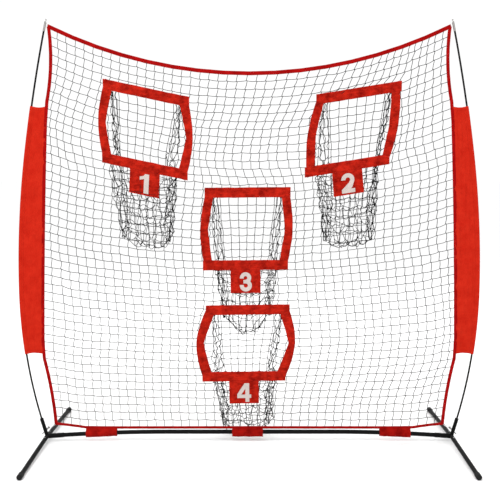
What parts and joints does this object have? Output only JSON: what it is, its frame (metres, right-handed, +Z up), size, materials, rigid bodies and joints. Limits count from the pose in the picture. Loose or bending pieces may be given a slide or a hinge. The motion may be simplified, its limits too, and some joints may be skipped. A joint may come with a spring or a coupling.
{
  "type": "pitching target net",
  "caption": "Free-standing bow-pole ball net with red-framed target pockets, hanging net bags and numbered tabs.",
  "frame": {"origin": "on the ground, below the middle of the crossbar", "axes": "+X along the crossbar to the right as the pitcher sees it, +Y to the rear where the bags hang, +Z up"},
  "size_m": [2.3864, 1.0274, 2.1801],
  "materials": {
    "black_steel": "satin black powder coat",
    "foot_rubber": "matt black moulded rubber",
    "black_plastic": "matt black moulded plastic",
    "button_steel": "plain bright steel",
    "fibreglass": "smooth black resin over glass fibre",
    "ferrule_steel": "plain steel tube",
    "shock_cord": "braided elastic cord",
    "tip_metal": "dull grey metal",
    "netting": "knotless black polyester twine",
    "hem_tape": "dark red woven binding tape",
    "sleeve_fabric": "bright red coated polyester",
    "band_fabric": "red woven polyester",
    "numeral_print": "off-white heat-pressed print",
    "elastic": "white elastic loop"
  },
  "bodies": {
    "root": {"corner_left": "black_steel", "corner_right": "black_steel", "leg_front_left": "black_steel", "leg_front_right": "black_steel", "leg_rear_left": "black_steel", "leg_rear_right": "black_steel", "foot_front_left": "foot_rubber", "foot_front_right": "foot_rubber", "foot_rear_left": "foot_rubber", "foot_rear_right": "foot_rubber", "crossbar_left": "black_steel", "crossbar_middle": "black_steel", "crossbar_right": "black_steel", "button_springs": "button_steel", "hook_peg_left": "black_plastic", "hook_peg_right": "black_plastic", "pole_lower_left": "fibreglass", "pole_lower_right": "fibreglass", "pole_middle_left": "fibreglass", "pole_middle_right": "fibreglass", "pole_upper_left": "fibreglass", "pole_upper_right": "fibreglass", "ferrules_left": "ferrule_steel", "ferrules_right": "ferrule_steel", "shock_cord_left": "shock_cord", "shock_cord_right": "shock_cord", "tip_cap_left": "tip_metal", "tip_cap_right": "tip_metal", "net_panel": "netting", "hem_top": "hem_tape", "hem_bottom": "hem_tape", "hem_left": "hem_tape", "hem_right": "hem_tape", "sleeve_left": "sleeve_fabric", "sleeve_right": "sleeve_fabric", "base_loops": "sleeve_fabric", "elastics_top": "elastic", "elastics_bottom": "elastic", "pocket_frame_1": "band_fabric", "pocket_bag_1": "netting", "pocket_frame_2": "band_fabric", "pocket_bag_2": "netting", "pocket_frame_3": "band_fabric", "pocket_bag_3": "netting", "pocket_frame_4": "band_fabric", "pocket_bag_4": "netting"},
    "button_bar_left": {"button_bar_left": "button_steel"},
    "button_front_left": {"button_front_left": "button_steel"},
    "button_rear_left": {"button_rear_left": "button_steel"},
    "button_bar_right": {"button_bar_right": "button_steel"},
    "button_front_right": {"button_front_right": "button_steel"},
    "button_rear_right": {"button_rear_right": "button_steel"},
    "tab_1": {"tab_1": "band_fabric", "numeral_1": "numeral_print"},
    "tab_2": {"tab_2": "band_fabric", "numeral_2": "numeral_print"},
    "tab_3": {"tab_3": "band_fabric", "numeral_3": "numeral_print"},
    "tab_4": {"tab_4": "band_fabric", "numeral_4": "numeral_print"}
  },
  "joints": [
    {"name": "press_bar_left", "type": "slide", "parent": "root", "child": "button_bar_left", "axis": [0.068, 0, -0.9977], "range_m": [0, 0.004], "stiffness_N_per_m": 1500, "springref_m": -0.002},
    {"name": "press_front_left", "type": "slide", "parent": "root", "child": "button_front_left", "axis": [0, 0.036, -0.9994], "range_m": [0, 0.004], "stiffness_N_per_m": 1500, "springref_m": -0.002},
    {"name": "press_rear_left", "type": "slide", "parent": "root", "child": "button_rear_left", "axis": [0, -0.036, -0.9994], "range_m": [0, 0.004], "stiffness_N_per_m": 1500, "springref_m": -0.002},
    {"name": "press_bar_right", "type": "slide", "parent": "root", "child": "button_bar_right", "axis": [-0.068, 0, -0.9977], "range_m": [0, 0.004], "stiffness_N_per_m": 1500, "springref_m": -0.002},
    {"name": "press_front_right", "type": "slide", "parent": "root", "child": "button_front_right", "axis": [0, 0.036, -0.9994], "range_m": [0, 0.004], "stiffness_N_per_m": 1500, "springref_m": -0.002},
    {"name": "press_rear_right", "type": "slide", "parent": "root", "child": "button_rear_right", "axis": [0, -0.036, -0.9994], "range_m": [0, 0.004], "stiffness_N_per_m": 1500, "springref_m": -0.002},
    {"name": "swing_1", "type": "hinge", "parent": "root", "child": "tab_1", "pos_m": [-0.53095, -0.0029, 1.42135], "axis": [-0.9789, 0, 0.2045], "range_deg": [0, 120]},
    {"name": "swing_2", "type": "hinge", "parent": "root", "child": "tab_2", "pos_m": [0.49784, -0.0029, 1.42383], "axis": [-0.9877, 0, -0.1564], "range_deg": [0, 120]},
    {"name": "swing_3", "type": "hinge", "parent": "root", "child": "tab_3", "pos_m": [-0.01948, -0.0029, 0.9148], "axis": [-1, 0, -0.0087], "range_deg": [0, 120]},
    {"name": "swing_4", "type": "hinge", "parent": "root", "child": "tab_4", "pos_m": [-0.02797, -0.0029, 0.3268], "axis": [-0.9999, 0, -0.014], "range_deg": [0, 120]}
  ]
}
